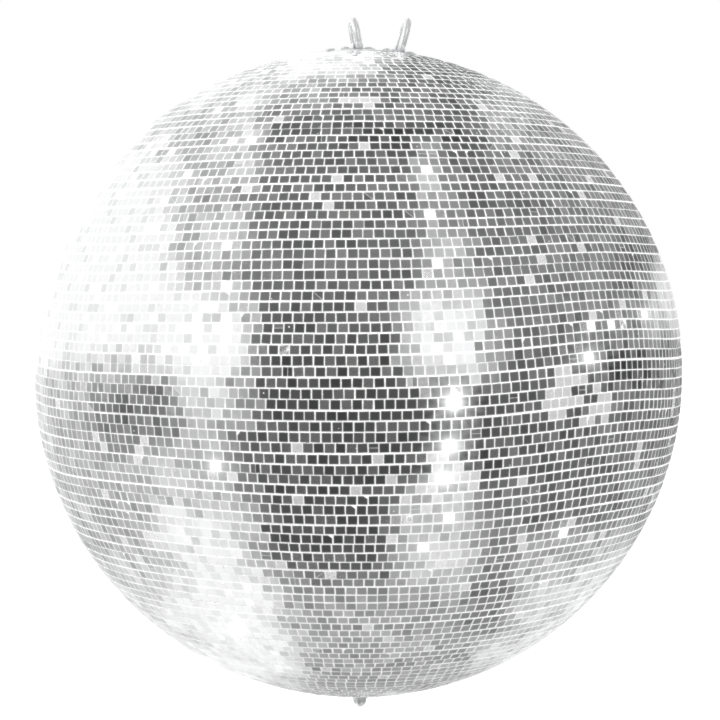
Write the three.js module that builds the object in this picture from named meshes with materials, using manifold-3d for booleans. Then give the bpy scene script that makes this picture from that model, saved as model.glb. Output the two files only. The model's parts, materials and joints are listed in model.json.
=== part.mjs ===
// Mirror ball, 750 mm across, with two swinging suspension loops on its crown.
// Millimetres, +Z up, origin at the centre of the ball, loops' foot bars along Y.
import * as THREE from 'three';
import Module from 'manifold-3d';
import { mergeVertices } from 'three/addons/utils/BufferGeometryUtils.js';

const wasm = await Module();
wasm.setup();

// ---- Driving dimensions ----

const BALL_RADIUS = 375;
const FIT_GAP = 0.3;
const AROUND = 48;

// Facets lie in level rows. Row 0 would be the disc round the top pole.
const ROWS_POLE_TO_POLE = 108;
const FIRST_ROW = 6;
const ROWS_PER_BAND = 5;
const BANDS = 20;
const MIRROR_THICKNESS = 2.7;

const SHELL_OUTER = BALL_RADIUS - MIRROR_THICKNESS - FIT_GAP;
const SHELL_THICKNESS = 5;
const SHELL_INNER = SHELL_OUTER - SHELL_THICKNESS;
const SPLICE_THICKNESS = 4;
const SPLICE_HALF_ANGLE = 3.4;

const PLATE_THICKNESS = 3;
const CROWN_INNER = SHELL_OUTER + FIT_GAP;
const CROWN_OUTER = CROWN_INNER + PLATE_THICKNESS;
const CROWN_EDGE_ANGLE = 9.7;
const BACKING_OUTER = SHELL_INNER - FIT_GAP;
const BACKING_INNER = BACKING_OUTER - PLATE_THICKNESS;
const BACKING_EDGE_ANGLE = 10.1;
const BASE_BACKING_EDGE_ANGLE = 174.5;

const ROD_RADIUS = 5;
const ROD_HOLE_RADIUS = ROD_RADIUS + FIT_GAP;
const ROD_HEAD_RADIUS = 9;
const ROD_HEAD_THICKNESS = 4;
const COLLAR_RADIUS = 20;
const COLLAR_THICKNESS = 5.4;
const CAP_NUT_ACROSS_FLATS = 17;
const CAP_NUT_HEIGHT = 18;
const CAP_NUT_HEX_HEIGHT = 8;
const CAP_NUT_DOME_RADIUS = 8;
const CAP_NUT_BORE_DEPTH = 13;

const LOOP_ROD_RADIUS = 4;
const LOOP_LEG_SPACING = 32;
const MAIN_LOOP_HEIGHT = 30.3;
const SAFETY_LOOP_HEIGHT = 34.3;
const LOOP_CORNER_RADIUS = 6;
const LOOP_PIVOT_RADIUS = CROWN_OUTER + FIT_GAP + LOOP_ROD_RADIUS;
const MAIN_LOOP_LEAN = -10;
const SAFETY_LOOP_LEAN = 16;
const SAFETY_LOOP_OFFSET = 49.5;

const SADDLE_WIDTH = 16;
const SADDLE_HALF_LENGTH = 20;
const SADDLE_THICKNESS = 1.6;
const SADDLE_BOLT_OFFSET = 13.5;
const SADDLE_BOLT_RADIUS = 2.5;
const SADDLE_HEAD_RADIUS = 4.6;
const SADDLE_HEAD_HEIGHT = 1.8;
const SADDLE_NUT_FLATS = 8;

const CROWN_BOLT_CIRCLE_ANGLE = 8;
const CROWN_BOLT_RADIUS = 3;
const CROWN_HEAD_RADIUS = 5.5;
const CROWN_HEAD_HEIGHT = 2;
const CROWN_NUT_FLATS = 10;
const CROWN_BOLTS = 4;
const NUT_HEIGHT = 4.5;
const NUT_SEAT_GAP = 1.2;
const BOLT_TAIL = 2;

const SEAM_ANGLE = 90;
const DRILL_REACH = 20;
const ROUND_SIDES = 12;
const DOME_STEPS = 5;
const LOOP_STEPS = 36;
const LOOP_SIDES = 10;
const CAP_NUT_TOP = SHELL_OUTER + COLLAR_THICKNESS + 2 * FIT_GAP;

// ---- Materials ----

function material(color, roughness, metalness) {
  return new THREE.MeshStandardMaterial({ color, roughness, metalness });
}

const mirrorGlass = material(0xcdd0d2, 0.05, 1);
const shellPlastic = material(0xf1f0ec, 0.6, 0);
const plateSteel = material(0xd3d5d6, 0.35, 1);
const brightSteel = material(0xe3e5e6, 0.15, 1);
const zincSteel = material(0xbfc2c4, 0.3, 1);

// ---- Helpers ----

const radians = THREE.MathUtils.degToRad;
const acrossCorners = (flats) => flats / Math.cos(Math.PI / 6);

// A closed geometry as a solid that can be cut and joined.
function solid(geometry) {
  const bare = geometry.clone();
  bare.deleteAttribute('normal');
  bare.deleteAttribute('uv');
  const merged = mergeVertices(bare, 1e-4);
  const vertProperties = new Float32Array(merged.attributes.position.array);
  const triVerts = new Uint32Array(merged.index.array);
  return new wasm.Manifold(new wasm.Mesh({ numProp: 3, vertProperties, triVerts }));
}

function geometryOf(body) {
  const mesh = body.getMesh();
  const geometry = new THREE.BufferGeometry();
  geometry.setAttribute('position', new THREE.BufferAttribute(mesh.vertProperties, 3));
  geometry.setIndex(new THREE.BufferAttribute(mesh.triVerts, 1));
  geometry.computeVertexNormals();
  return geometry;
}

function join(base, ...others) {
  return geometryOf(others.reduce((body, other) => body.add(solid(other)), solid(base)));
}

function cut(base, cutters) {
  return geometryOf(cutters.reduce((body, cutter) => body.subtract(solid(cutter)), solid(base)));
}

// A cylinder or prism about Z from one height to another.
function pillar(radius, bottom, top, sides = ROUND_SIDES) {
  const geometry = new THREE.CylinderGeometry(radius, radius, top - bottom, sides);
  geometry.rotateX(Math.PI / 2);
  geometry.translate(0, 0, (top + bottom) / 2);
  return geometry;
}

// Turns a profile of [radius, height] points about Z.
function turned(profile, sides = AROUND) {
  const points = profile.map(([radius, height]) => new THREE.Vector2(radius, height));
  const geometry = new THREE.LatheGeometry(points, sides);
  geometry.rotateX(Math.PI / 2);
  return geometry;
}

// ---- Layers of the ball ----

// Every layer is flat between the same polar angles, so that the layers nest.
const rowAngle = 180 / ROWS_POLE_TO_POLE;
const bandEdge = (band) => (FIRST_ROW + band * ROWS_PER_BAND) * rowAngle;
const bandEdges = Array.from({ length: BANDS + 1 }, (_, band) => bandEdge(band));
const foldAngles = [0, bandEdges[0] / 2, ...bandEdges, 180];

function layerPoint(radius, angle) {
  const next = Math.max(1, foldAngles.findIndex((fold) => fold >= angle - 1e-9));
  const middle = (foldAngles[next] + foldAngles[next - 1]) / 2;
  const halfWidth = (foldAngles[next] - foldAngles[next - 1]) / 2;
  const reach = (radius * Math.cos(radians(halfWidth))) / Math.cos(radians(angle - middle));
  return [reach * Math.sin(radians(angle)), reach * Math.cos(radians(angle))];
}

function layerLine(radius, from, to) {
  const between = foldAngles.filter((fold) => fold > from + 1e-6 && fold < to - 1e-6);
  return [from, ...between, to].map((angle) => layerPoint(radius, angle));
}

// A part of the ball's wall between two radii and two polar angles: a cap where it meets a pole.
function layer(inner, outer, from, to) {
  const outerLine = layerLine(outer, from, to).reverse();
  const innerLine = layerLine(inner, from, to);
  if (from === 0) {
    return turned([...innerLine, ...outerLine]);
  }
  const closing = to === 180 ? [] : [outerLine[0]];
  return turned([...outerLine, ...innerLine, ...closing]);
}

const group = new THREE.Group();

function place(name, geometry, look, parent = group) {
  const mesh = new THREE.Mesh(geometry, look);
  mesh.name = name;
  parent.add(mesh);
  return mesh;
}

// A group whose Z axis leaves the ball at a polar angle and a turn about Z.
function standOn(angle, turn = 0) {
  const stand = new THREE.Group();
  stand.rotation.order = 'ZYX';
  stand.rotation.set(0, radians(angle), radians(turn));
  group.add(stand);
  return stand;
}

// ---- Drills ----

const safetyAngle = THREE.MathUtils.radToDeg(Math.asin(SAFETY_LOOP_OFFSET / LOOP_PIVOT_RADIUS));
const loopStands = { main: standOn(0), safety: standOn(safetyAngle) };
const loopAngles = { main: 0, safety: safetyAngle };
const crownBoltTurns = Array.from({ length: CROWN_BOLTS }, (_, bolt) => ((bolt + 0.5) * 360) / CROWN_BOLTS);

function drill(radius, angle, turn, offset = 0) {
  const bit = pillar(radius, BACKING_INNER - DRILL_REACH, CROWN_OUTER + DRILL_REACH);
  bit.translate(offset, 0, 0);
  bit.rotateY(radians(angle));
  bit.rotateZ(radians(turn));
  return bit;
}

const saddleDrills = Object.values(loopAngles).flatMap((angle) =>
  [-1, 1].map((side) => drill(SADDLE_BOLT_RADIUS + FIT_GAP, angle, 0, side * SADDLE_BOLT_OFFSET)));
const crownDrills = crownBoltTurns.map((turn) =>
  drill(CROWN_BOLT_RADIUS + FIT_GAP, CROWN_BOLT_CIRCLE_ANGLE, turn));
const boltDrills = [...saddleDrills, ...crownDrills];
const rodDrill = pillar(ROD_HOLE_RADIUS, -BALL_RADIUS - DRILL_REACH, BACKING_OUTER + DRILL_REACH / 2);
const rodHeadDrill = pillar(ROD_HEAD_RADIUS + FIT_GAP, SHELL_INNER - DRILL_REACH, SHELL_OUTER + DRILL_REACH);

// ---- Mirror rows, five to a band ----

const edgeTrim = THREE.MathUtils.radToDeg(FIT_GAP / 2 / SHELL_INNER);
for (let band = 0; band < BANDS; band += 1) {
  const name = `mirror_rows_${String(band + 1).padStart(2, '0')}`;
  const top = bandEdges[band] + edgeTrim;
  const bottom = bandEdges[band + 1] - edgeTrim;
  place(name, layer(SHELL_OUTER + FIT_GAP, BALL_RADIUS, top, bottom), mirrorGlass);
}

// ---- Shell ----

const upperWall = layer(SHELL_INNER, SHELL_OUTER, 0, SEAM_ANGLE - edgeTrim);
const lowerWall = layer(SHELL_INNER, SHELL_OUTER, SEAM_ANGLE + edgeTrim, 180);
place('upper_shell', cut(upperWall, [...boltDrills, rodHeadDrill]), shellPlastic);
place('lower_shell', cut(lowerWall, [rodDrill]), shellPlastic);

const spliceTop = SEAM_ANGLE - SPLICE_HALF_ANGLE;
const spliceBottom = SEAM_ANGLE + SPLICE_HALF_ANGLE;
place('splice_ring', layer(BACKING_OUTER - SPLICE_THICKNESS, BACKING_OUTER, spliceTop, spliceBottom), shellPlastic);

// ---- Plates that clamp the shell ----

const crownCap = layer(CROWN_INNER, CROWN_OUTER, 0, CROWN_EDGE_ANGLE);
place('crown_plate', cut(crownCap, boltDrills), plateSteel);

const backingCap = layer(BACKING_INNER, BACKING_OUTER, 0, BACKING_EDGE_ANGLE);
place('crown_backing', cut(backingCap, [...boltDrills, rodDrill]), zincSteel);

const baseCap = layer(BACKING_INNER, BACKING_OUTER, BASE_BACKING_EDGE_ANGLE, 180);
place('base_backing', cut(baseCap, [rodDrill]), zincSteel);

// ---- Tie rod, base collar and cap nut ----

const rodHeadBottom = BACKING_OUTER + FIT_GAP;
const rodShank = pillar(ROD_RADIUS, -CAP_NUT_TOP - CAP_NUT_BORE_DEPTH + 1, rodHeadBottom + 1);
const rodHead = pillar(ROD_HEAD_RADIUS, rodHeadBottom, rodHeadBottom + ROD_HEAD_THICKNESS);
place('tie_rod', join(rodShank, rodHead), zincSteel);

const collarTop = -SHELL_OUTER - FIT_GAP;
const collar = pillar(COLLAR_RADIUS, collarTop - COLLAR_THICKNESS, collarTop, 2 * ROUND_SIDES);
place('base_collar', cut(collar, [rodDrill]), plateSteel);

const nutHex = pillar(acrossCorners(CAP_NUT_ACROSS_FLATS) / 2, 0, CAP_NUT_HEX_HEIGHT, 6);
const domeShoulder = CAP_NUT_HEIGHT - CAP_NUT_DOME_RADIUS;
const dome = turned([
  [0, CAP_NUT_HEX_HEIGHT - 2],
  [CAP_NUT_DOME_RADIUS, CAP_NUT_HEX_HEIGHT - 2],
  [CAP_NUT_DOME_RADIUS, domeShoulder],
  ...Array.from({ length: DOME_STEPS }, (_, step) => {
    const angle = (((step + 1) / DOME_STEPS) * Math.PI) / 2;
    return [CAP_NUT_DOME_RADIUS * Math.cos(angle), domeShoulder + CAP_NUT_DOME_RADIUS * Math.sin(angle)];
  }),
], 2 * ROUND_SIDES);
const nutBore = pillar(ROD_HOLE_RADIUS, -1, CAP_NUT_BORE_DEPTH);
const capNut = place('base_cap_nut', cut(join(nutHex, dome), [nutBore]), brightSteel);
capNut.rotation.x = Math.PI;
capNut.position.z = -CAP_NUT_TOP;

// ---- Bolts and nuts ----

// A low round-headed bolt along Z with the underside of its head at height 0.
function roundBolt(spec, length) {
  const head = pillar(spec.headRadius, 0, spec.headHeight, 2 * ROUND_SIDES);
  return join(head, pillar(spec.radius, -length, spec.headHeight / 2));
}

function hexNut(radius, flats) {
  const body = pillar(acrossCorners(flats) / 2, -NUT_HEIGHT, 0, 6);
  return cut(body, [pillar(radius + FIT_GAP, -NUT_HEIGHT - 1, 1)]);
}

// Fits a bolt and its nut on a stand, the head over one height and the nut under another.
function fitBolt(label, stand, spec, seat, offset = 0) {
  const nutSeat = BACKING_INNER - NUT_SEAT_GAP;
  const length = seat - nutSeat + NUT_HEIGHT + BOLT_TAIL;
  const bolt = place(`${label}_bolt`, roundBolt(spec, length), zincSteel, stand);
  bolt.position.set(offset, 0, seat);
  const nut = place(`${label}_nut`, hexNut(spec.radius, spec.nutFlats), zincSteel, stand);
  nut.position.set(offset, 0, nutSeat);
}

const crownBolt = {
  radius: CROWN_BOLT_RADIUS,
  headRadius: CROWN_HEAD_RADIUS,
  headHeight: CROWN_HEAD_HEIGHT,
  nutFlats: CROWN_NUT_FLATS,
};
const saddleBolt = {
  radius: SADDLE_BOLT_RADIUS,
  headRadius: SADDLE_HEAD_RADIUS,
  headHeight: SADDLE_HEAD_HEIGHT,
  nutFlats: SADDLE_NUT_FLATS,
};
crownBoltTurns.forEach((turn, index) => {
  const stand = standOn(CROWN_BOLT_CIRCLE_ANGLE, turn);
  fitBolt(`crown_${index + 1}`, stand, crownBolt, CROWN_OUTER + FIT_GAP);
});

// ---- Saddles, their bolts, and the loops ----

// The strap lies on the crown and arches over the loop's foot bar.
function saddleStrap() {
  const barHeight = LOOP_ROD_RADIUS;
  const inner = LOOP_ROD_RADIUS + FIT_GAP;
  const outer = inner + SADDLE_THICKNESS;
  const shape = new THREE.Shape();
  shape.moveTo(-SADDLE_HALF_LENGTH, 0);
  shape.lineTo(-inner, 0);
  shape.lineTo(-inner, barHeight);
  shape.absarc(0, barHeight, inner, Math.PI, 0, true);
  shape.lineTo(inner, 0);
  shape.lineTo(SADDLE_HALF_LENGTH, 0);
  shape.lineTo(SADDLE_HALF_LENGTH, SADDLE_THICKNESS);
  shape.lineTo(outer, SADDLE_THICKNESS);
  shape.lineTo(outer, barHeight);
  shape.absarc(0, barHeight, outer, 0, Math.PI, false);
  shape.lineTo(-outer, SADDLE_THICKNESS);
  shape.lineTo(-SADDLE_HALF_LENGTH, SADDLE_THICKNESS);
  const strap = new THREE.ExtrudeGeometry(shape, { depth: SADDLE_WIDTH, bevelEnabled: false, curveSegments: 8 });
  strap.translate(0, 0, -SADDLE_WIDTH / 2);
  strap.rotateX(Math.PI / 2);
  const holes = [-1, 1].map((side) => {
    const hole = pillar(SADDLE_BOLT_RADIUS + FIT_GAP, -1, SADDLE_THICKNESS + 1);
    hole.translate(side * SADDLE_BOLT_OFFSET, 0, 0);
    return hole;
  });
  return cut(strap, holes);
}

// The closed centre line of a loop, its foot bar along Y through the origin.
function loopCentreLine(height) {
  const half = LOOP_LEG_SPACING / 2;
  const corner = LOOP_CORNER_RADIUS;
  const outline = new THREE.Path();
  outline.moveTo(0, 0);
  outline.lineTo(half - corner, 0);
  outline.absarc(half - corner, corner, corner, -Math.PI / 2, 0, false);
  outline.lineTo(half, height - half);
  outline.absarc(0, height - half, half, 0, Math.PI, false);
  outline.lineTo(-half, corner);
  outline.absarc(corner - half, corner, corner, Math.PI, 1.5 * Math.PI, false);
  outline.lineTo(0, 0);
  const points = outline.getSpacedPoints(LOOP_STEPS).slice(0, -1);
  return new THREE.CatmullRomCurve3(points.map((point) => new THREE.Vector3(0, point.x, point.y)), true);
}

const loopLeans = { main: MAIN_LOOP_LEAN, safety: SAFETY_LOOP_LEAN - safetyAngle };
const loopHeights = { main: MAIN_LOOP_HEIGHT, safety: SAFETY_LOOP_HEIGHT };
for (const [label, stand] of Object.entries(loopStands)) {
  const strap = place(`${label}_saddle`, saddleStrap(), plateSteel, stand);
  strap.position.z = CROWN_OUTER + FIT_GAP;
  const seat = CROWN_OUTER + 2 * FIT_GAP + SADDLE_THICKNESS;
  fitBolt(`${label}_saddle_left`, stand, saddleBolt, seat, -SADDLE_BOLT_OFFSET);
  fitBolt(`${label}_saddle_right`, stand, saddleBolt, seat, SADDLE_BOLT_OFFSET);
  const centreLine = loopCentreLine(loopHeights[label]);
  const tube = new THREE.TubeGeometry(centreLine, LOOP_STEPS, LOOP_ROD_RADIUS, LOOP_SIDES, true);
  const loop = place(`${label}_loop`, tube, brightSteel, stand);
  loop.position.z = LOOP_PIVOT_RADIUS;
  loop.rotation.y = radians(loopLeans[label]);
}

export default group;
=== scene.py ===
"""A 750 mm mirror ball with two suspension loops: fine pieces, materials, studio and camera."""
import json
import math

import bpy
import numpy as np
from mathutils import Matrix, Quaternion, Vector


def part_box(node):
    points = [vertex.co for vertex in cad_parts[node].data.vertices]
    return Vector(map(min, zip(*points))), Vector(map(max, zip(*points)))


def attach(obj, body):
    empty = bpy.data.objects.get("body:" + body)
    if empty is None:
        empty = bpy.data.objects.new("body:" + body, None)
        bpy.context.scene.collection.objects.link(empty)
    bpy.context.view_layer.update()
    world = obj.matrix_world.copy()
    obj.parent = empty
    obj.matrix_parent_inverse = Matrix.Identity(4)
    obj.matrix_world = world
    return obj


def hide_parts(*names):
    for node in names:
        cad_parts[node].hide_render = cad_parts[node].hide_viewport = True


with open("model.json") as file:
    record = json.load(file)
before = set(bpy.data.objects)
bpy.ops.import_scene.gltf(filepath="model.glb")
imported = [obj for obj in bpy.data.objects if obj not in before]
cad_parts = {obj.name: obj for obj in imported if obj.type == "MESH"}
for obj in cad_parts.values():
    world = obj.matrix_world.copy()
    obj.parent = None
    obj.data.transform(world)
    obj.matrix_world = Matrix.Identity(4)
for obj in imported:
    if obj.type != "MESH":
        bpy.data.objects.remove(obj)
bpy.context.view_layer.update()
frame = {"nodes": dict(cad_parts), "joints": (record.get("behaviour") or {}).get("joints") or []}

joints = {joint["name"]: joint for joint in frame["joints"]}
rng = np.random.default_rng(1977)

# ---- Sizes, in metres ----

MM = 0.001
BALL_RADIUS = 375 * MM
FIT_GAP = 0.3 * MM

ROWS_POLE_TO_POLE = 108
FIRST_ROW = 6
ROWS_PER_BAND = 5
BANDS = 20
ROW_ANGLE = math.pi / ROWS_POLE_TO_POLE

FACET_SIDE = 9.8 * MM
FACET_THICKNESS = 2 * MM
FACET_CHAMFER = 0.1 * MM
FACET_PITCH = 10.8 * MM
ADHESIVE_RADIUS = BALL_RADIUS - 0.75 * MM
ADHESIVE_INNER = BALL_RADIUS - 2.6 * MM

CROWN_OUTER = 375.3 * MM
CROWN_INNER = 372.3 * MM
CROWN_EDGE_ANGLE = math.radians(9.7)

LOOP_ROD_RADIUS = 4 * MM
LOOP_LEG_SPACING = 32 * MM
LOOP_HEIGHTS = {"main": 30.3 * MM, "safety": 34.3 * MM}
LOOP_CORNER_RADIUS = 6 * MM
LOOP_LEANS = {"main": math.radians(-10), "safety": math.radians(16)}

SADDLE_WIDTH = 16 * MM
SADDLE_HALF_LENGTH = 20 * MM
SADDLE_THICKNESS = 1.6 * MM

# ---- Materials ----


def new_material(name):
    material = bpy.data.materials.new(name)
    material.use_nodes = True
    return material, material.node_tree, material.node_tree.nodes["Principled BSDF"]


def noise(tree, scale, detail):
    """Solid noise in the object's own coordinates."""
    coordinates = tree.nodes.new("ShaderNodeTexCoord")
    texture = tree.nodes.new("ShaderNodeTexNoise")
    texture.inputs["Scale"].default_value = scale
    texture.inputs["Detail"].default_value = detail
    tree.links.new(coordinates.outputs["Object"], texture.inputs["Vector"])
    return texture.outputs["Fac"]


def spread(tree, value, low, high):
    """Maps noise onto a range."""
    span = tree.nodes.new("ShaderNodeMapRange")
    span.inputs["From Min"].default_value = 0.3
    span.inputs["From Max"].default_value = 0.7
    span.inputs["To Min"].default_value = low
    span.inputs["To Max"].default_value = high
    tree.links.new(value, span.inputs["Value"])
    return span.outputs["Result"]


def surface(name, color, roughness, metallic, grain, bump_height, bump_scale, bump_detail=3.0):
    """A finish whose roughness wanders between two values over a fine bump."""
    material, tree, shader = new_material(name)
    shader.inputs["Base Color"].default_value = (*color, 1)
    shader.inputs["Metallic"].default_value = metallic
    tree.links.new(spread(tree, noise(tree, grain, 4), *roughness), shader.inputs["Roughness"])
    bump = tree.nodes.new("ShaderNodeBump")
    bump.inputs["Strength"].default_value = 0.5
    bump.inputs["Distance"].default_value = bump_height
    tree.links.new(noise(tree, bump_scale, bump_detail), bump.inputs["Height"])
    tree.links.new(bump.outputs["Normal"], shader.inputs["Normal"])
    return material


def mottled(material, dark, light, scale):
    """Adds slow colour variation between two tints."""
    tree = material.node_tree
    ramp = tree.nodes.new("ShaderNodeValToRGB")
    ramp.color_ramp.elements[0].position = 0.35
    ramp.color_ramp.elements[0].color = (*dark, 1)
    ramp.color_ramp.elements[1].position = 0.65
    ramp.color_ramp.elements[1].color = (*light, 1)
    tree.links.new(noise(tree, scale, 5), ramp.inputs["Fac"])
    tree.links.new(ramp.outputs["Color"], tree.nodes["Principled BSDF"].inputs["Base Color"])
    return material


MIRROR_KINDS = {
    "clean": surface("mirror_clean", (0.86, 0.865, 0.87), (0.015, 0.05), 1, 160, 0.05 * MM, 90, 0.5),
    "dim": surface("mirror_dim", (0.76, 0.765, 0.77), (0.03, 0.10), 1, 160, 0.08 * MM, 75, 0.5),
    "dusty": surface("mirror_dusty", (0.88, 0.88, 0.88), (0.05, 0.18), 0.93, 190, 0.09 * MM, 110, 1),
    "bright": surface("mirror_bright", (0.96, 0.96, 0.96), (0.04, 0.12), 0.97, 180, 0.12 * MM, 90, 1),
    "hazy": surface("mirror_hazy", (0.92, 0.92, 0.92), (0.15, 0.42), 0.56, 220, 0.12 * MM, 130, 2),
}
HAZY = list(MIRROR_KINDS).index("hazy")
MIRROR_SHARES = {"clean": 0.5, "dim": 0.2, "dusty": 0.23, "bright": 0.045, "hazy": 0.025}
edge_glass = surface("facet_edge_glass", (0.93, 0.94, 0.94), (0.3, 0.5), 0, 300, 0.05 * MM, 500)
edge_glass.node_tree.nodes["Principled BSDF"].inputs["Specular IOR Level"].default_value = 0.8
adhesive = mottled(
    surface("adhesive", (0.93, 0.93, 0.92), (0.45, 0.65), 0, 200, 0.12 * MM, 260),
    (0.86, 0.86, 0.85), (0.97, 0.97, 0.96), 40)
shell_plastic = mottled(
    surface("shell_plastic", (0.9, 0.9, 0.88), (0.5, 0.65), 0, 60, 0.08 * MM, 120),
    (0.86, 0.86, 0.84), (0.93, 0.93, 0.91), 15)
plate_steel = surface("plated_steel", (0.84, 0.85, 0.86), (0.2, 0.36), 0.7, 90, 0.02 * MM, 420)
bright_steel = surface("bright_plating", (0.92, 0.925, 0.93), (0.10, 0.2), 0.66, 70, 0.015 * MM, 160)
zinc_steel = surface("zinc_plating", (0.8, 0.81, 0.83), (0.22, 0.4), 0.65, 120, 0.02 * MM, 300)

# ---- Mesh helpers ----


def new_piece(name, mesh, materials, body, replaced=()):
    """Links a finished mesh as a piece that rides on a body."""
    for material in materials:
        mesh.materials.append(material)
    piece = bpy.data.objects.new(name, mesh)
    bpy.context.scene.collection.objects.link(piece)
    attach(piece, body)
    if replaced:
        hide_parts(*replaced)
    return piece


def mesh_of(name, vertices, faces, smooth=True):
    mesh = bpy.data.meshes.new(name)
    mesh.from_pydata(vertices, [], faces)
    mesh.validate()
    mesh.update()
    mesh.polygons.foreach_set("use_smooth", [smooth] * len(mesh.polygons))
    return mesh


def smooth_by_angle(mesh, degrees):
    """Keeps edges sharper than an angle crisp on a smooth mesh."""
    mesh.set_sharp_from_angle(angle=math.radians(degrees))
    return mesh


def ring_faces(rings, around, closed_profile):
    """Quads between successive rings of a turned mesh."""
    faces = []
    last = rings if closed_profile else rings - 1
    for ring in range(last):
        following = (ring + 1) % rings
        for step in range(around):
            beside = (step + 1) % around
            faces.append((
                ring * around + step, ring * around + beside,
                following * around + beside, following * around + step))
    return faces


def turned(name, profile, around, closed_profile=False, radius_limit=None):
    """Turns (radius, height) points about Z; radius_limit(angle) may trim the round to a hexagon."""
    vertices = []
    for radius, height in profile:
        for step in range(around):
            angle = 2 * math.pi * step / around
            reach = min(radius, radius_limit(angle)) if radius_limit else radius
            vertices.append((reach * math.cos(angle), reach * math.sin(angle), height))
    faces = ring_faces(len(profile), around, closed_profile)
    if not closed_profile:
        faces.append(tuple(range(around))[::-1])
        top = (len(profile) - 1) * around
        faces.append(tuple(range(top, top + around)))
    return mesh_of(name, vertices, faces)


def arc(centre_x, centre_z, radius, start, end, steps):
    """Points of a round stretch of a profile."""
    angles = np.radians(np.linspace(start, end, steps + 1))
    return [(centre_x + radius * math.cos(a), centre_z + radius * math.sin(a)) for a in angles]


def hexagon_reach(flats):
    """The distance from the axis to a hexagon's outline, by angle."""
    return lambda angle: flats / 2 / math.cos((angle + math.pi / 6) % (math.pi / 3) - math.pi / 6)


def stand_matrix(angle, turn=0.0):
    """A frame whose Z axis leaves the ball at a polar angle and a turn about Z."""
    return Matrix.Rotation(turn, 4, "Z") @ Matrix.Rotation(angle, 4, "Y")


# ---- Mirror facets ----


def unit(vectors):
    return vectors / np.linalg.norm(vectors, axis=1, keepdims=True)


def outward(polar, turn):
    """Unit vectors that leave the ball at polar angles from its crown and turns about Z."""
    return np.stack([np.sin(polar) * np.cos(turn), np.sin(polar) * np.sin(turn), np.cos(polar)], 1)


# Patches that were knocked and laid again: many of their facets are hazy and lie off true.
RELAID_PATCHES = 26
PATCH_REACH = (10 * MM, 30 * MM)
RELAID_SHARE = 0.6
# The polar angle and turn of the first few; the others lie anywhere.
FIRST_PATCHES = np.radians([(92, -58), (37, -96), (17, -99), (90, -65)])
patch_polar = np.arccos(rng.uniform(-0.95, 0.95, RELAID_PATCHES))
patch_turn = rng.uniform(0, 2 * math.pi, RELAID_PATCHES)
patch_polar[:len(FIRST_PATCHES)], patch_turn[:len(FIRST_PATCHES)] = FIRST_PATCHES.T
patch_reach = rng.uniform(*PATCH_REACH, RELAID_PATCHES) / BALL_RADIUS
patch_middles = outward(patch_polar, patch_turn)


def relaid(normal):
    """Which facets, by their true normals, are in a patch that was laid again."""
    return np.any(normal @ patch_middles.T > np.cos(patch_reach), 1)


# Where the rows drift off level: the middle's polar angle and turn, how far the drift spreads each
# way, in degrees, and how far the rows rise there.
ROW_DRIFTS = [
    ((92, -54), (22, 15), 9 * MM),
    ((70, -156), (18, 20), -6 * MM),
    ((106, -138), (15, 14), 3.5 * MM),
    ((120, 20), (20, 18), -4 * MM),
    ((75, 62), (18, 16), 5 * MM),
    ((100, 118), (20, 20), -5 * MM),
]


def row_drift(polar, turn):
    """How far the rows rise at each place, in radians, and the slope this gives them."""
    rise = np.zeros(len(turn))
    slope = np.zeros(len(turn))
    for middle, spread_each_way, height in ROW_DRIFTS:
        (middle_polar, middle_turn), (reach_polar, reach_turn) = np.radians([middle, spread_each_way])
        away = (turn - middle_turn + math.pi) % (2 * math.pi) - math.pi
        bulge = np.exp(-((polar - middle_polar) / reach_polar) ** 2 / 2 - (away / reach_turn) ** 2 / 2)
        rise += height / BALL_RADIUS * bulge
        slope -= height / BALL_RADIUS * bulge * away / reach_turn ** 2 / np.sin(polar)
    return rise, slope


# How far off true facets are laid, in radians, and how many are laid carelessly.
USUAL_TILT = 0.012
USUAL_TWIST = 0.016
CARELESS_TILT = 0.03
CARELESS_SHARE = 0.03
# How far a row as a whole, its slow wave and each facet stray from where they should be.
ROW_STRAY = 0.16 * MM
ROW_WAVE = (0.1 * MM, 0.32 * MM)
FACET_STRAY = 0.07 * MM
FACET_SLIP = 0.1 * MM
# How the spacing and the height of the facets differ from row to row, and their sizes in a row.
ROW_SPACING = (0.995, 1.012)
ROW_HEIGHT = (0.935, 1.01)
WIDTH_SPREAD = 0.018
HEIGHT_SPREAD = 0.012
WIDTH_LIMITS = (0.93, 1.02)
HEIGHT_LIMITS = (0.93, 1.03)


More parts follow.
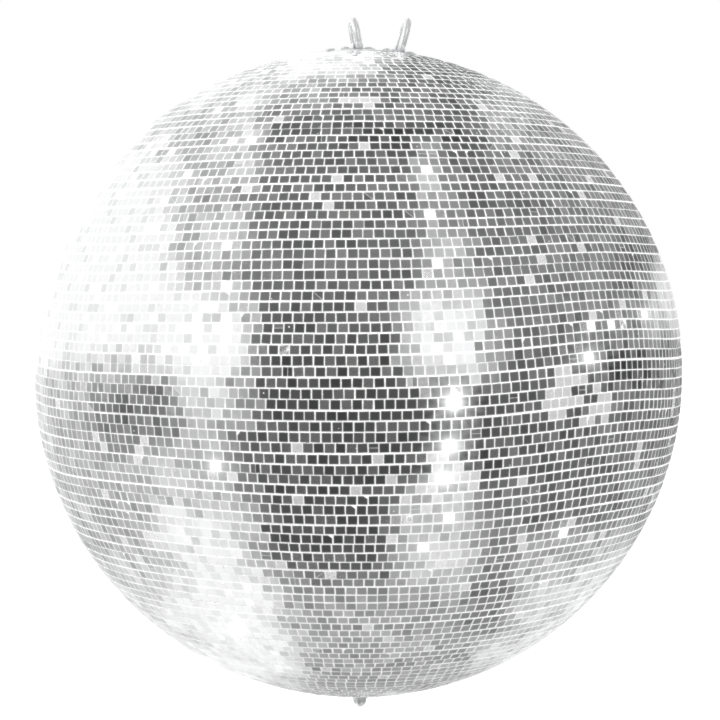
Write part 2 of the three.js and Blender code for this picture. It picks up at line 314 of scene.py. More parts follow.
def row_frames(row):
    """Centres, axes and sizes of a row's facets, each laid and cut a little off true by hand."""
    polar = (row + 0.5) * ROW_ANGLE + rng.normal(0, ROW_STRAY) / BALL_RADIUS
    row_height = rng.uniform(*ROW_HEIGHT)
    girth = 2 * math.pi * BALL_RADIUS * math.sin(polar)
    count = int(girth / (FACET_PITCH * rng.uniform(*ROW_SPACING)))
    turn = 2 * math.pi * (np.arange(count) + rng.uniform()) / count
    turn = turn + rng.normal(0, FACET_SLIP, count) / (BALL_RADIUS * math.sin(polar))
    wave = rng.uniform(*ROW_WAVE) * np.sin(rng.integers(2, 7) * turn + rng.uniform(0, 6.3))
    polar = polar + (wave + rng.normal(0, FACET_STRAY, count)) / BALL_RADIUS
    rise, slope = row_drift(polar, turn)
    polar = polar - rise
    normal = outward(polar, turn)
    east = np.stack([-np.sin(turn), np.cos(turn), np.zeros(count)], 1)
    centre = normal * BALL_RADIUS
    careless_share = np.where(relaid(normal), RELAID_SHARE, CARELESS_SHARE)
    careless = rng.uniform(size=(count, 1)) < careless_share[:, None]
    tilt = rng.normal(0, 1, (count, 2)) * np.where(careless, CARELESS_TILT, USUAL_TILT)
    north = np.cross(normal, east)
    normal = unit(normal + tilt[:, :1] * east + tilt[:, 1:] * north)
    twist = rng.normal(0, 1, (count, 1)) * np.where(careless, CARELESS_TILT, USUAL_TWIST)
    twist = twist + slope[:, None]
    east = east * np.cos(twist) + north * np.sin(twist)
    east = unit(east - normal * np.sum(east * normal, 1, keepdims=True))
    width = np.clip(rng.normal(1, WIDTH_SPREAD, (count, 1)), *WIDTH_LIMITS)
    height = np.clip(rng.normal(row_height, HEIGHT_SPREAD, (count, 1)), *HEIGHT_LIMITS)
    return centre, east * width, np.cross(normal, east) * height, normal


def inset(outline, distance):
    """Moves a convex outline's sides inwards."""
    outline = np.array(outline, float)
    into = unit(np.roll(outline, 1, 0) - outline)
    onward = unit(np.roll(outline, -1, 0) - outline)
    sine = np.abs(into[:, 0] * onward[:, 1] - into[:, 1] * onward[:, 0])[:, None]
    return outline + (into + onward) * distance / sine


def tile_template(outline):
    """A chamfered glass tile: its corners as (u, v, w), and its faces with the mirror face first."""
    sides = len(outline)
    corners = [(*point, 0) for point in inset(outline, FACET_CHAMFER)]
    corners += [(*point, -FACET_CHAMFER) for point in outline]
    corners += [(*point, -FACET_THICKNESS) for point in outline]
    faces = [tuple(range(sides))]
    for level in (0, sides):
        for side in range(sides):
            beside = (side + 1) % sides
            faces.append((level + side, level + sides + side, level + sides + beside, level + beside))
    faces.append(tuple(range(2 * sides, 3 * sides))[::-1])
    return np.array(corners), faces


HALF = FACET_SIDE / 2
CRACK = 0.1 * MM
CHIP = 3 * MM
SQUARE = [(-HALF, -HALF), (HALF, -HALF), (HALF, HALF), (-HALF, HALF)]
CHIPPED = [(-HALF, -HALF), (HALF, -HALF), (HALF, HALF - CHIP), (HALF - 1.4 * CHIP, HALF), (-HALF, HALF)]
CORNER_BELOW = [(-HALF, -HALF), (HALF - CRACK, -HALF), (-HALF, HALF - CRACK)]
CORNER_ABOVE = [(HALF, HALF), (-HALF + CRACK, HALF), (HALF, -HALF + CRACK)]
STRIP_LEFT = [(-HALF, -HALF), (-CRACK, -HALF), (CRACK, HALF), (-HALF, HALF)]
STRIP_RIGHT = [(HALF, HALF), (3 * CRACK, HALF), (CRACK, -HALF), (HALF, -HALF)]
# How often facets of each make turn up: whole, chipped, split from corner to corner, split across.
MAKES = {
    0.966: [SQUARE],
    0.014: [CHIPPED],
    0.008: [CORNER_BELOW, CORNER_ABOVE],
    0.012: [STRIP_LEFT, STRIP_RIGHT],
}
SPLIT_TILT = 0.02

# The centres and normals of the sound whole facets of each band.
laid_facets = []


def band_of_facets(band):
    """All the facets of one band of rows, as one mesh of separate closed tiles."""
    rows = range(FIRST_ROW + band * ROWS_PER_BAND, FIRST_ROW + (band + 1) * ROWS_PER_BAND)
    centre, east, north, normal = (np.concatenate(part) for part in zip(*map(row_frames, rows)))
    make = rng.choice(len(MAKES), len(centre), p=list(MAKES))
    fogged = relaid(unit(centre)) & (rng.uniform(size=len(centre)) < RELAID_SHARE)
    sound = (make == 0) & ~fogged
    laid_facets.append(np.stack([centre[sound], normal[sound]], 1))
    quarter_turned = rng.uniform(size=len(centre)) < 0.5
    side = np.where(quarter_turned[:, None], north, east)
    rise = np.where(quarter_turned[:, None], -east, north)
    vertices = []
    faces = []
    looks = []
    offset = 0
    for index, outlines in enumerate(MAKES.values()):
        chosen = make == index
        for outline in outlines:
            corners, tile_faces = tile_template(outline)
            lean = rng.normal(0, SPLIT_TILT if len(outlines) > 1 else 0, (chosen.sum(), 1))
            across = side[chosen] - normal[chosen] * lean
            outwards = normal[chosen] + side[chosen] * lean
            places = (
                centre[chosen][:, None]
                + across[:, None] * corners[None, :, :1]
                + rise[chosen][:, None] * corners[None, :, 1:2]
                + outwards[:, None] * corners[None, :, 2:])
            kinds = rng.choice(len(MIRROR_SHARES), chosen.sum(), p=list(MIRROR_SHARES.values()))
            for kind in np.where(fogged[chosen], HAZY, kinds):
                faces.extend(tuple(corner + offset for corner in face) for face in tile_faces)
                looks.extend([kind] + [len(MIRROR_KINDS)] * (len(tile_faces) - 1))
                offset += len(corners)
            vertices.append(places.reshape(-1, 3))
    mesh = mesh_of(f"facets_{band + 1:02d}", np.concatenate(vertices).tolist(), faces, smooth=False)
    mesh.polygons.foreach_set("material_index", looks)
    return mesh


SPECKS_PER_BAND = 46
SPECK_SIDES = 8
SPECK_LENGTH = (0.3 * MM, 0.9 * MM)
# Each ring of a speck: its share of the full size, and its height over the facets.
SPECK_RINGS = ((1, -0.15 * MM), (1, 0.08 * MM), (0.55, 0.25 * MM))
ADHESIVE_STEPS_AROUND = 288
ADHESIVE_BUMPS = 0.06 * MM


def adhesive_specks(first_polar, last_polar):
    """Small smears of adhesive left on the facets: low closed domes, as vertices and faces."""
    vertices = []
    faces = []
    for _ in range(SPECKS_PER_BAND):
        polar = math.acos(rng.uniform(math.cos(last_polar), math.cos(first_polar)))
        stand = stand_matrix(polar, rng.uniform(0, 2 * math.pi))
        stand = stand @ Matrix.Rotation(rng.uniform(0, 3), 4, "Z")
        length = rng.uniform(*SPECK_LENGTH)
        width = length * rng.uniform(0.3, 0.9)
        start = len(vertices)
        for scale, height in SPECK_RINGS:
            for side in range(SPECK_SIDES):
                angle = 2 * math.pi * side / SPECK_SIDES
                x = scale * length * math.cos(angle)
                y = scale * width * math.sin(angle)
                vertices.append(tuple(stand @ Vector((x, y, BALL_RADIUS + height))))
        rings = ring_faces(len(SPECK_RINGS), SPECK_SIDES, False)
        rings += [tuple(range(SPECK_SIDES))[::-1], tuple(range(2 * SPECK_SIDES, 3 * SPECK_SIDES))]
        faces.extend(tuple(corner + start for corner in face) for face in rings)
    return vertices, faces


def band_of_adhesive(band):
    """The adhesive and body colour that show in the joints, a little uneven, and its stray specks."""
    around = ADHESIVE_STEPS_AROUND
    start = (FIRST_ROW + band * ROWS_PER_BAND) * ROW_ANGLE
    steps = 2 * ROWS_PER_BAND
    polar = start + np.linspace(0, ROWS_PER_BAND * ROW_ANGLE, steps + 1)
    profile = [(ADHESIVE_RADIUS, angle) for angle in polar[::-1]]
    profile += [(ADHESIVE_INNER, polar[0]), (ADHESIVE_INNER, polar[-1])]
    turn = 2 * math.pi * np.arange(around) / around
    vertices = []
    for radius, angle in profile:
        bumpy = radius == ADHESIVE_RADIUS and polar[0] < angle < polar[-1]
        reach = radius + (rng.normal(0, ADHESIVE_BUMPS, around) if bumpy else 0)
        vertices.append(outward(np.full(around, angle), turn) * np.reshape(reach, (-1, 1)))
    faces = ring_faces(len(profile), around, closed_profile=True)
    wall = np.concatenate(vertices).tolist()
    specks, speck_faces = adhesive_specks(polar[0], polar[-1])
    faces.extend(tuple(corner + len(wall) for corner in face) for face in speck_faces)
    return mesh_of(f"adhesive_{band + 1:02d}", wall + specks, faces)


for band in range(BANDS):
    cad_node = f"mirror_rows_{band + 1:02d}"
    facet_looks = [*MIRROR_KINDS.values(), edge_glass]
    new_piece(f"facets_{band + 1:02d}", band_of_facets(band), facet_looks, "ball", [cad_node])
    new_piece(f"adhesive_{band + 1:02d}", band_of_adhesive(band), [adhesive], "ball", [cad_node])

# ---- Crown plate, base collar and cap nut ----

ROUND_STEPS = 96
CROWN_STEPS = 160
CROWN_RINGS = 24
RIM_LIP = 0.9 * MM
# In radians: how far the dish stops short of the rim, and the flat spot at its pole.
RIM_SET_BACK = 0.003
POLE_FLAT = 0.002
# In degrees: the angle above which an edge stays crisp.
PLATE_CREASE = 40
NUT_CREASE = 35


def crown_plate():
    """A dished disc with a rolled rim."""
    angles = np.linspace(POLE_FLAT, CROWN_EDGE_ANGLE - RIM_SET_BACK, CROWN_RINGS)
    inner = [(CROWN_INNER * math.sin(a), CROWN_INNER * math.cos(a)) for a in angles]
    outer = [(CROWN_OUTER * math.sin(a), CROWN_OUTER * math.cos(a)) for a in angles[::-1]]
    rim_radius = CROWN_OUTER * math.sin(CROWN_EDGE_ANGLE)
    rim_height = (CROWN_OUTER + CROWN_INNER) / 2 * math.cos(CROWN_EDGE_ANGLE)
    rim = [(rim_radius, rim_height - RIM_LIP / 2), (rim_radius, rim_height + RIM_LIP)]
    mesh = turned("crown_plate_disc", inner + rim + outer, CROWN_STEPS)
    return smooth_by_angle(mesh, PLATE_CREASE)


new_piece("crown_plate_disc", crown_plate(), [plate_steel], "ball", ["crown_plate"])


def piece_at_foot(name, mesh, material, node, height):
    """Hangs a turned piece upside down under the ball."""
    mesh.transform(Matrix.Translation((0, 0, height)) @ Matrix.Rotation(math.pi, 4, "X"))
    new_piece(name, smooth_by_angle(mesh, NUT_CREASE), [material], "ball", [node])


COLLAR_ROUND = 0.8 * MM
COLLAR_BORE_RADIUS = 6 * MM
collar_low, collar_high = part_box("base_collar")
collar_radius = collar_high[0]
collar_thickness = collar_high[2] - collar_low[2]
collar_profile = [
    (collar_radius, 0),
    *arc(collar_radius - COLLAR_ROUND, collar_thickness - COLLAR_ROUND, COLLAR_ROUND, 0, 90, 6),
    (COLLAR_BORE_RADIUS, collar_thickness),
]
collar_mesh = turned("base_collar_disc", collar_profile, ROUND_STEPS)
piece_at_foot("base_collar_disc", collar_mesh, plate_steel, "base_collar", collar_high[2])

CAP_NUT_FLATS = 17 * MM
CAP_NUT_HEX_HEIGHT = 8 * MM
CAP_NUT_DOME_RADIUS = 8 * MM
CAP_NUT_CHAMFERS = (0.55 * MM, 0.9 * MM)
nut_low, nut_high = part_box("base_cap_nut")
nut_height = nut_high[2] - nut_low[2]
dome_shoulder = nut_height - CAP_NUT_DOME_RADIUS
nut_corner = CAP_NUT_FLATS / math.sqrt(3)
nut_profile = [
    (CAP_NUT_FLATS / 2, 0),
    (nut_corner, CAP_NUT_CHAMFERS[0]),
    (nut_corner, CAP_NUT_HEX_HEIGHT - CAP_NUT_CHAMFERS[1]),
    (CAP_NUT_FLATS / 2 + 0.05 * MM, CAP_NUT_HEX_HEIGHT),
    (CAP_NUT_DOME_RADIUS, CAP_NUT_HEX_HEIGHT + 0.15 * MM),
    *arc(0, dome_shoulder, CAP_NUT_DOME_RADIUS, 3, 88, 14),
]
nut_mesh = turned("cap_nut", nut_profile, ROUND_STEPS, radius_limit=hexagon_reach(CAP_NUT_FLATS))
piece_at_foot("cap_nut", nut_mesh, bright_steel, "base_cap_nut", nut_high[2])

# ---- Loops, saddles and bolts ----

LOOP_STEPS_AROUND = 24
LOOP_STEPS_OVER = 28
LOOP_STEPS_IN_CORNER = 8


def loop_path(loop_height):
    """The closed centre line in the YZ plane, its foot bar through the origin."""
    half = LOOP_LEG_SPACING / 2
    corner = LOOP_CORNER_RADIUS
    points = arc(half - corner, corner, corner, -90, 0, LOOP_STEPS_IN_CORNER)
    points += arc(0, loop_height - half, half, 0, 180, LOOP_STEPS_OVER)
    points += arc(corner - half, corner, corner, 180, 270, LOOP_STEPS_IN_CORNER)
    return np.array([(0, y, z) for y, z in points])


def loop_mesh(name, loop_height):
    """A round rod swept along the closed path."""
    path = loop_path(loop_height)
    turn = 2 * math.pi * np.arange(LOOP_STEPS_AROUND) / LOOP_STEPS_AROUND
    onward = np.roll(path, -1, 0) - path
    onward /= np.linalg.norm(onward, axis=1, keepdims=True)
    tangent = onward + np.roll(onward, 1, 0)
    tangent /= np.linalg.norm(tangent, axis=1, keepdims=True)
    sideways = np.cross(tangent, (1, 0, 0))
    sections = []
    for point, direction in zip(path, sideways):
        ring = point + LOOP_ROD_RADIUS * (
            np.cos(turn)[:, None] * np.array((1, 0, 0)) + np.sin(turn)[:, None] * direction)
        sections.append(ring)
    faces = ring_faces(len(path), LOOP_STEPS_AROUND, closed_profile=True)
    return mesh_of(name, np.concatenate(sections).tolist(), faces)


SADDLE_FILLET = 1.6 * MM
SADDLE_CROWN_RISE = 0.32 * MM


def saddle_mesh(name):
    """A strap with two flat wings that arches over the foot bar; height 0 is its underside."""
    inner = LOOP_ROD_RADIUS + FIT_GAP
    outer = inner + SADDLE_THICKNESS
    fillet = SADDLE_FILLET
    under = [(-SADDLE_HALF_LENGTH, 0), (-inner, 0)]
    under += arc(0, LOOP_ROD_RADIUS, inner, 180, 0, 20)
    under += [(inner, 0), (SADDLE_HALF_LENGTH, 0)]
    over = [(SADDLE_HALF_LENGTH, SADDLE_THICKNESS)]
    over += arc(outer + fillet, SADDLE_THICKNESS + fillet, fillet, 270, 180, 6)
    over += arc(0, LOOP_ROD_RADIUS + SADDLE_CROWN_RISE, outer, 8, 172, 24)
    over += arc(-outer - fillet, SADDLE_THICKNESS + fillet, fillet, 0, -90, 6)
    over += [(-SADDLE_HALF_LENGTH, SADDLE_THICKNESS)]
    outline = under + over
    count = len(outline)
    half = SADDLE_WIDTH / 2
    vertices = [(x, y, z) for y in (-half, half) for x, z in outline]
    faces = [(i, (i + 1) % count, count + (i + 1) % count, count + i) for i in range(count)]
    faces.append(tuple(range(count))[::-1])
    faces.append(tuple(range(count, 2 * count)))
    return smooth_by_angle(mesh_of(name, vertices, faces), PLATE_CREASE)


def round_edges(piece, width):
    """Rounds a piece's sharp edges."""
    bevel = piece.modifiers.new("rounded_edges", "BEVEL")
    bevel.width = width
    bevel.segments = 2
    bevel.limit_method = "ANGLE"
    bevel.angle_limit = math.radians(50)
    bevel.harden_normals = False


# Each bolt's shank radius, head radius and head height.
SADDLE_BOLT = (2.5 * MM, 4.6 * MM, 1.8 * MM)
CROWN_BOLT = (3 * MM, 5.5 * MM, 2 * MM)
BOLT_LENGTH = 16 * MM
BOLT_STEPS = 72
HEAD_SINK = 0.02 * MM
# The rounded head from its side to its top, as shares of its radius and height.
HEAD_PROFILE = [(1, 0.35), (0.94, 0.66), (0.8, 0.88), (0.58, 1)]
# The top and the floor of the socket, as shares of the head's height.
SOCKET_HEIGHTS = (0.98, 0.25)
SADDLE_BOLT_OFFSET = 13.5 * MM
SADDLE_EDGE_ROUND = 0.4 * MM
CROWN_BOLT_ANGLE = math.radians(8)
CROWN_BOLTS = 4


def bolt_mesh(name, radius, head_radius, head_height):
    """A round-headed bolt with a hexagon socket; height 0 is the underside of its head."""
    around = BOLT_STEPS
    socket_reach = hexagon_reach(radius)
    # Radius, height, and whether the ring follows the socket's hexagon.
    rings = [(radius, -BOLT_LENGTH, False), (radius, -HEAD_SINK, False), (head_radius, -HEAD_SINK, False)]
    rings += [(head_radius * width, head_height * height, False) for width, height in HEAD_PROFILE]
    rings += [(head_radius, head_height * height, True) for height in SOCKET_HEIGHTS]
    vertices = []
    for ring_radius, height, in_socket in rings:
        for step in range(around):
            angle = 2 * math.pi * step / around
            reach = socket_reach(angle) if in_socket else ring_radius
            vertices.append((reach * math.cos(angle), reach * math.sin(angle), height))
    faces = ring_faces(len(rings), around, False)
    faces.append(tuple(range(around))[::-1])
    socket_floor = (len(rings) - 1) * around
    faces.append(tuple(range(socket_floor, socket_floor + around)))
    return smooth_by_angle(mesh_of(name, vertices, faces), NUT_CREASE)


def bolt_at(node, matrix, radius, head_radius, head_height, seat):
    mesh = bolt_mesh(f"{node}_fine", radius, head_radius, head_height)
    mesh.transform(matrix @ Matrix.Translation((0, 0, seat)))
    new_piece(f"{node}_fine", mesh, [zinc_steel], "ball", [node])


for label, lean in LOOP_LEANS.items():
    pivot = Vector(joints[f"{label}_loop_swing"]["pos_m"])
    stand = stand_matrix(math.atan2(pivot.x, pivot.z))
    rod = loop_mesh(f"{label}_loop_rod", LOOP_HEIGHTS[label])
    rod.transform(Matrix.Translation(pivot) @ Matrix.Rotation(lean, 4, "Y"))
    new_piece(f"{label}_loop_rod", rod, [bright_steel], f"{label}_loop", [f"{label}_loop"])
    strap = saddle_mesh(f"{label}_saddle_strap")
    strap.transform(stand @ Matrix.Translation((0, 0, CROWN_OUTER + FIT_GAP)))
    saddle = new_piece(f"{label}_saddle_strap", strap, [plate_steel], "ball", [f"{label}_saddle"])
    round_edges(saddle, SADDLE_EDGE_ROUND)
    for side, offset in (("left", -SADDLE_BOLT_OFFSET), ("right", SADDLE_BOLT_OFFSET)):
        place = stand @ Matrix.Translation((offset, 0, 0))
        seat = CROWN_OUTER + 2 * FIT_GAP + SADDLE_THICKNESS
        bolt_at(f"{label}_saddle_{side}_bolt", place, *SADDLE_BOLT, seat)

for bolt in range(CROWN_BOLTS):
    place = stand_matrix(CROWN_BOLT_ANGLE, 2 * math.pi * (bolt + 0.5) / CROWN_BOLTS)
    bolt_at(f"crown_{bolt + 1}_bolt", place, *CROWN_BOLT, CROWN_OUTER + FIT_GAP)

# ---- Finishes of the CAD nodes that stay ----

NODE_FINISHES = {
    "upper_shell": shell_plastic,
    "lower_shell": shell_plastic,
    "splice_ring": shell_plastic,
}
for name, node in frame["nodes"].items():
    if not node.hide_render:
        node.data.materials.clear()
        node.data.materials.append(NODE_FINISHES.get(name, zinc_steel))

# ---- Camera ----

CAMERA_DISTANCE = 6.33 * BALL_RADIUS
CAMERA_AZIMUTH = math.radians(-9)
CAMERA_ELEVATION = math.radians(4.0)
CAMERA_ROLL = math.radians(-0.25)
BALL_SHARE_OF_FRAME = 0.9
AIM_RIGHT = 1.9 * MM
AIM_UP = 15.4 * MM

to_camera = Vector((
    math.sin(CAMERA_AZIMUTH) * math.cos(CAMERA_ELEVATION),
    -math.cos(CAMERA_AZIMUTH) * math.cos(CAMERA_ELEVATION),
    math.sin(CAMERA_ELEVATION)))
level = Vector((math.cos(CAMERA_AZIMUTH), math.sin(CAMERA_AZIMUTH), 0))
upright = to_camera.cross(level)
right = level * math.cos(CAMERA_ROLL) + upright * math.sin(CAMERA_ROLL)
up = upright * math.cos(CAMERA_ROLL) - level * math.sin(CAMERA_ROLL)
camera_data = bpy.data.cameras.new("camera")
camera = bpy.data.objects.new("camera", camera_data)
bpy.context.scene.collection.objects.link(camera)
bpy.context.scene.camera = camera
camera.location = to_camera * CAMERA_DISTANCE
aim = right * AIM_RIGHT + up * AIM_UP
camera.rotation_mode = "QUATERNION"
camera.rotation_quaternion = (
    (aim - camera.location).to_track_quat("-Z", "Y") @ Quaternion((0, 0, 1), CAMERA_ROLL))
ball_tangent = 1 / math.sqrt((CAMERA_DISTANCE / BALL_RADIUS) ** 2 - 1)
camera_data.sensor_width = 36
camera_data.lens = 18 * BALL_SHARE_OF_FRAME / ball_tangent
camera_data.clip_end = 100

# ---- Studio ----

scene = bpy.context.scene
scene.view_settings.view_transform = "Standard"
scene.view_settings.look = "None"

# Where each soft light shows on the ball, in ball radii right and up from its middle:
# middle, half size, softness of its edge, and radiance. A screen that holds light back is negative.
SOFT_LIGHTS = [
    ((-0.86, 0.28), (0.12, 0.16), 0.22, 0.50),
    ((-0.78, 0.46), (0.14, 0.10), 0.20, 0.22),
    ((-0.45, 0.12), (0.06, 0.05), 0.14, 0.66),
    ((-0.45, -0.04), (0.03, 0.05), 0.12, 0.32),
    ((-0.64, -0.12), (0.06, 0.03), 0.16, -0.32),
    ((-0.48, -0.36), (0.05, 0.12), 0.12, 0.20),
    ((-0.43, -0.58), (0.07, 0.10), 0.14, 0.34),
    ((-0.34, -0.74), (0.07, 0.10), 0.13, 0.40),
    ((-0.28, -0.88), (0.05, 0.05), 0.12, 0.30),
    ((-0.30, 0.96), (0.14, 0.05), 0.20, 0.5),
    ((-0.08, 0.97), (0.10, 0.04), 0.08, 0.6),
    ((-0.36, 0.68), (0.03, 0.08), 0.10, 0.24),
    ((0.25, 0.10), (0.05, 0.05), 0.14, 0.84),
    ((0.23, 0.42), (0.03, 0.12), 0.08, 0.18),
    ((0.27, -0.28), (0.01, 0.06), 0.08, 0.32),
    ((0.23, -0.48), (0.03, 0.05), 0.17, 0.55),
    ((0.40, -0.48), (0.05, 0.10), 0.12, 0.08),
    ((0.66, -0.63), (0.10, 0.08), 0.16, 0.36),
    ((0.90, -0.45), (0.03, 0.10), 0.14, 0.10),
    ((0.95, 0.22), (0.03, 0.06), 0.10, 0.40),
    ((0.56, 0.76), (0.10, 0.05), 0.15, 0.12),
    ((-0.34, -0.52), (0.04, 0.12), 0.10, 0.18),
    ((-0.38, 0.40), (0.03, 0.04), 0.08, 0.30),
    ((-0.32, 0.72), (0.01, 0.10), 0.07, 0.22),
    ((-0.37, -0.05), (0.03, 0.05), 0.10, 0.20),
    ((0.28, 0.30), (0.03, 0.06), 0.10, 0.20),
    ((0.37, 0.08), (0.03, 0.06), 0.08, 0.15),
    ((0.06, 0.95), (0.04, 0.03), 0.08, 0.20),
    ((0.20, 0.60), (0.015, 0.06), 0.05, 0.26),
    ((0.17, 0.70), (0.18, 0.01), 0.05, -0.10),
    ((0.10, 0.80), (0.10, 0.03), 0.06, 0.06),
    ((0.43, 0.80), (0.04, 0.05), 0.09, 0.14),
    ((0.80, 0.02), (0.05, 0.02), 0.06, -0.14),
    ((0.83, 0.32), (0.03, 0.05), 0.08, -0.12),
    ((0.38, -0.70), (0.03, 0.05), 0.09, -0.16),
    ((0.50, -0.84), (0.12, 0.02), 0.07, 0.26),
]
MOST_SOFT_LIGHT = 1.08
# Small bright lamps, each hung where one sound facet near this place on the ball mirrors it to the
# camera: the place, in the same way, and the lamp's radiance.
GLINTS = [
    ((0.252, 0.069), 6), ((0.285, 0.05), 4), ((0.298, -0.079), 11), ((0.267, -0.239), 8),
    ((0.267, -0.316), 7.5), ((0.285, -0.43), 5), ((0.16, -0.455), 4), ((0.205, -0.548), 5),
    ((0.205, 0.625), 6), ((0.221, 0.50), 5), ((0.242, 0.341), 6), ((-0.44, 0.14), 7),
    ((-0.33, 0.72), 6), ((-0.40, 0.41), 5), ((-0.22, 0.063), 6), ((-0.44, -0.285), 7),
    ((-0.37, -0.78), 6), ((0.884, 0.177), 8), ((0.823, 0.162), 7), ((0.78, 0.145), 5),
    ((0.70, 0.054), 8), ((0.72, 0.13), 6), ((0.63, -0.50), 6),
]
GLINT_RADIUS = 0.004
GLINT_CORE = 0.0012
GLOW_RADIUS = 0.034
GLOW_SHARE = 0.02

# The room's own light, and how it changes across and up the ball: where each change starts and ends,
# and the radiance at both. The room is dark behind the camera, lighter to the left, and pale below.
ROOM_LIGHT = 0.085
ACROSS_FADES = [
    ((-0.62, -0.18), (0.44, 0.0)),
    ((-0.75, -0.95), (0.0, 0.12)),
    ((0.32, 0.5), (0.0, 0.05)),
    ((0.5, 0.85), (0.0, 0.06)),
]
ABOVE_FADES = [
    ((-0.05, 0.3), (0.0, 0.09)),
    ((-0.45, -0.78), (0.0, 0.33)),
]
# One more change across, which shows in the upper half alone.
UPPER_HALF = (0.0, 0.25)
UPPER_LEFT_FADE = ((-0.36, -0.92), (0.0, 0.55))
DARKEST_ROOM = 0.03
CLUTTER_SCALE = 9.0
CLUTTER_DETAIL = 6.0
CLUTTER_ROUGHNESS = 0.65
CLUTTER_FADE = ((0.32, 0.68), (0.72, 1.28))
TENT_LIGHT = 1.0
BACKDROP_LIGHT = 1.0
WHITE = (1, 1, 1, 1)

world = bpy.data.worlds.new("studio")
scene.world = world
world.use_nodes = True
tree = world.node_tree
tree.nodes.clear()


def vector_math(operation, first, second=None):
    node = tree.nodes.new("ShaderNodeVectorMath")
    node.operation = operation
    for socket, value in zip(node.inputs, (first, second)):
        if isinstance(value, bpy.types.NodeSocket):
            tree.links.new(value, socket)
        elif value is not None:
            socket.default_value = value
    return node.outputs["Value" if operation in ("DOT_PRODUCT", "DISTANCE") else "Vector"]


def maths(operation, first, second=0.0):
    node = tree.nodes.new("ShaderNodeMath")
    node.operation = operation
    for socket, value in zip(node.inputs, (first, second)):
        if isinstance(value, bpy.types.NodeSocket):
            tree.links.new(value, socket)
        else:
            socket.default_value = value
    return node.outputs["Value"]


def fade(value, places, results=(0.0, 1.0)):
    """A smooth step of a value: the two places it runs between, and its result at each."""
    node = tree.nodes.new("ShaderNodeMapRange")
    node.interpolation_type = "SMOOTHERSTEP"
    tree.links.new(value, node.inputs["Value"])
    node.inputs["From Min"].default_value, node.inputs["From Max"].default_value = places
    node.inputs["To Min"].default_value, node.inputs["To Max"].default_value = results
    return node.outputs["Result"]


def lamp_place(centres, normals, place):
    """Where a lamp has to hang for the facet nearest a place on the ball to mirror it to the camera."""
    depth = CAMERA_DISTANCE - centres @ to_camera
    seen = np.stack([centres @ right, centres @ up], 1) / depth[:, None] / ball_tangent
    visible = centres @ to_camera > BALL_RADIUS / 5
    off = np.where(visible, np.linalg.norm(seen - place, axis=1), np.inf)
    nearest = int(np.argmin(off))
    normal = Vector(normals[nearest])
    view = (to_camera * CAMERA_DISTANCE - Vector(centres[nearest])).normalized()
    halfway = (2 * normal.dot(view) * normal - view + to_camera).normalized()
    return halfway.dot(right), halfway.dot(up)


direction = tree.nodes.new("ShaderNodeTexCoord").outputs["Generated"]
facing = vector_math("NORMALIZE", vector_math("ADD", direction, tuple(to_camera)))
across = vector_math("DOT_PRODUCT", facing, tuple(right))
above = vector_math("DOT_PRODUCT", facing, tuple(up))

upper_left = maths("MULTIPLY", fade(above, UPPER_HALF), fade(across, *UPPER_LEFT_FADE))
room = maths("ADD", upper_left, ROOM_LIGHT)
for axis, axis_fades in ((across, ACROSS_FADES), (above, ABOVE_FADES)):
    for places, radiances in axis_fades:
        room = maths("ADD", room, fade(axis, places, radiances))
for (x, y), (half_width, half_height), softness, radiance in SOFT_LIGHTS:
    beside = maths("ABSOLUTE", maths("SUBTRACT", across, x))
    beyond = maths("ABSOLUTE", maths("SUBTRACT", above, y))
    light = maths("MULTIPLY", fade(beside, (half_width + softness, half_width)), radiance)
    light = maths("MULTIPLY", light, fade(beyond, (half_height + softness, half_height)))
    room = maths("ADD", room, light)

# Furnishings break up the light, so that neighbouring facets show different things.
clutter = tree.nodes.new("ShaderNodeTexNoise")
clutter.inputs["Scale"].default_value = CLUTTER_SCALE
clutter.inputs["Detail"].default_value = CLUTTER_DETAIL
clutter.inputs["Roughness"].default_value = CLUTTER_ROUGHNESS
tree.links.new(direction, clutter.inputs["Vector"])
room = maths("MAXIMUM", room, DARKEST_ROOM)
room = maths("MULTIPLY", room, fade(clutter.outputs["Fac"], *CLUTTER_FADE))
room = maths("MINIMUM", room, MOST_SOFT_LIGHT)
flat = tree.nodes.new("ShaderNodeCombineXYZ")
tree.links.new(across, flat.inputs["X"])
tree.links.new(above, flat.inputs["Y"])
laid_centre, laid_normal = np.concatenate(laid_facets).transpose(1, 0, 2)
for place, radiance in GLINTS:
    lamp_across, lamp_above = lamp_place(laid_centre, laid_normal, place)
    distance = vector_math("DISTANCE", flat.outputs["Vector"], (lamp_across, lamp_above, 0))
    room = maths("ADD", room, fade(distance, (GLINT_RADIUS, GLINT_CORE), (0.0, radiance)))
    room = maths("ADD", room, fade(distance, (GLOW_RADIUS, 0.0), (0.0, GLOW_SHARE * radiance)))


def background(strength):
    """A white background of a given strength, which may be a socket."""
    node = tree.nodes.new("ShaderNodeBackground")
    node.inputs["Color"].default_value = WHITE
    if isinstance(strength, bpy.types.NodeSocket):
        tree.links.new(strength, node.inputs["Strength"])
    else:
        node.inputs["Strength"].default_value = strength
    return node.outputs["Background"]


# The tent of white cloth round the ball lights what is matt from every side.
studio = background(room)
tent = background(TENT_LIGHT)
backdrop = background(BACKDROP_LIGHT)
ray = tree.nodes.new("ShaderNodeLightPath")
shown = studio
for kind, surroundings in (("Is Diffuse Ray", tent), ("Is Camera Ray", backdrop)):
    chooser = tree.nodes.new("ShaderNodeMixShader")
    tree.links.new(ray.outputs[kind], chooser.inputs["Fac"])
    tree.links.new(shown, chooser.inputs[1])
    tree.links.new(surroundings, chooser.inputs[2])
    shown = chooser.outputs["Shader"]
world_output = tree.nodes.new("ShaderNodeOutputWorld")
tree.links.new(shown, world_output.inputs["Surface"])


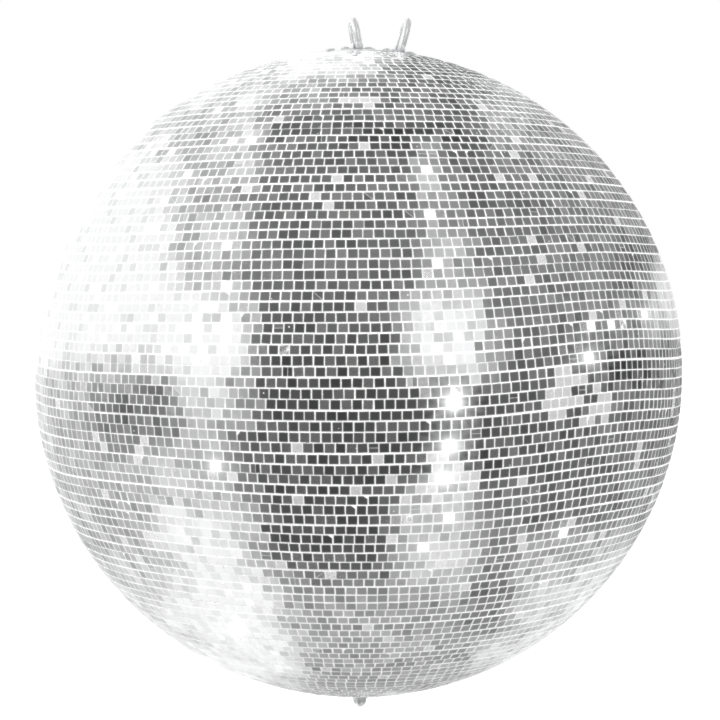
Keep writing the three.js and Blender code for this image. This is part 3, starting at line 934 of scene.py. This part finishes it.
# Large lamps aimed at the ball, which light the joints and don't show in the facets: the way to each
# from the ball, its size and its power.
LAMP_DISTANCE = 3.0
LAMPS = {
    "lamp_left": (to_camera * 1.2 - right * 1.5 + up, 1.6, 50),
    "lamp_right": (to_camera * 1.2 + right * 1.5 + up * 0.5, 1.6, 35),
    "lamp_below": (to_camera * 0.8 - up * 1.5, 1.6, 35),
    "lamp_behind": (up * 1.2 - to_camera, 2.0, 45),
}
for name, (way, size, power) in LAMPS.items():
    lamp = bpy.data.lights.new(name, "AREA")
    lamp.shape = "DISK"
    lamp.size = size
    lamp.energy = power
    holder = bpy.data.objects.new(name, lamp)
    scene.collection.objects.link(holder)
    holder.location = way.normalized() * LAMP_DISTANCE
    holder.rotation_mode = "QUATERNION"
    holder.rotation_quaternion = (-holder.location).to_track_quat("-Z", "Y")
    holder.visible_glossy = False

# The lens spreads what is brighter than white into a soft glow and short streaks.
LENS_GLARES = {
    "STREAKS": {
        "Threshold": 4.0, "Maximum": 40.0, "Clamp": True, "Strength": 0.6, "Streaks": 14,
        "Streaks Angle": 0.2, "Iterations": 2, "Fade": 0.87, "Color Modulation": 0.0},
    "BLOOM": {"Threshold": 1.3, "Maximum": 6.0, "Clamp": True, "Strength": 0.12, "Size": 0.25},
}
LENS_SOFTNESS = 0.35
scene.use_nodes = True
lens = scene.node_tree
lens.nodes.clear()
picture = lens.nodes.new("CompositorNodeRLayers").outputs["Image"]
for kind, settings in LENS_GLARES.items():
    glare = lens.nodes.new("CompositorNodeGlare")
    glare.glare_type = kind
    for socket, value in settings.items():
        glare.inputs[socket].default_value = value
    lens.links.new(picture, glare.inputs["Image"])
    picture = glare.outputs["Image"]
softener = lens.nodes.new("CompositorNodeFilter")
softener.filter_type = "SOFTEN"
softener.inputs["Fac"].default_value = LENS_SOFTNESS
lens.links.new(picture, softener.inputs["Image"])
composite = lens.nodes.new("CompositorNodeComposite")
lens.links.new(softener.outputs["Image"], composite.inputs["Image"])

FLOOR_HEIGHT = -1.1
FLOOR_REACH = 20
FLOOR_COLOR = (0.9, 0.9, 0.9, 1)
FLOOR_ROUGHNESS = 0.9
FLOOR_GLOW = 0.75
FLOOR_CORNERS = ((-1, -1), (1, -1), (1, 1), (-1, 1))
floor_vertices = [(x * FLOOR_REACH, y * FLOOR_REACH, FLOOR_HEIGHT) for x, y in FLOOR_CORNERS]
floor_mesh = mesh_of("floor", floor_vertices, [(0, 1, 2, 3)])
floor_look, _, floor_shader = new_material("pale_floor")
floor_shader.inputs["Base Color"].default_value = FLOOR_COLOR
floor_shader.inputs["Roughness"].default_value = FLOOR_ROUGHNESS
floor_shader.inputs["Emission Color"].default_value = WHITE
floor_shader.inputs["Emission Strength"].default_value = FLOOR_GLOW
floor_mesh.materials.append(floor_look)
floor = bpy.data.objects.new("floor", floor_mesh)
scene.collection.objects.link(floor)
floor.visible_glossy = False
floor.visible_diffuse = False
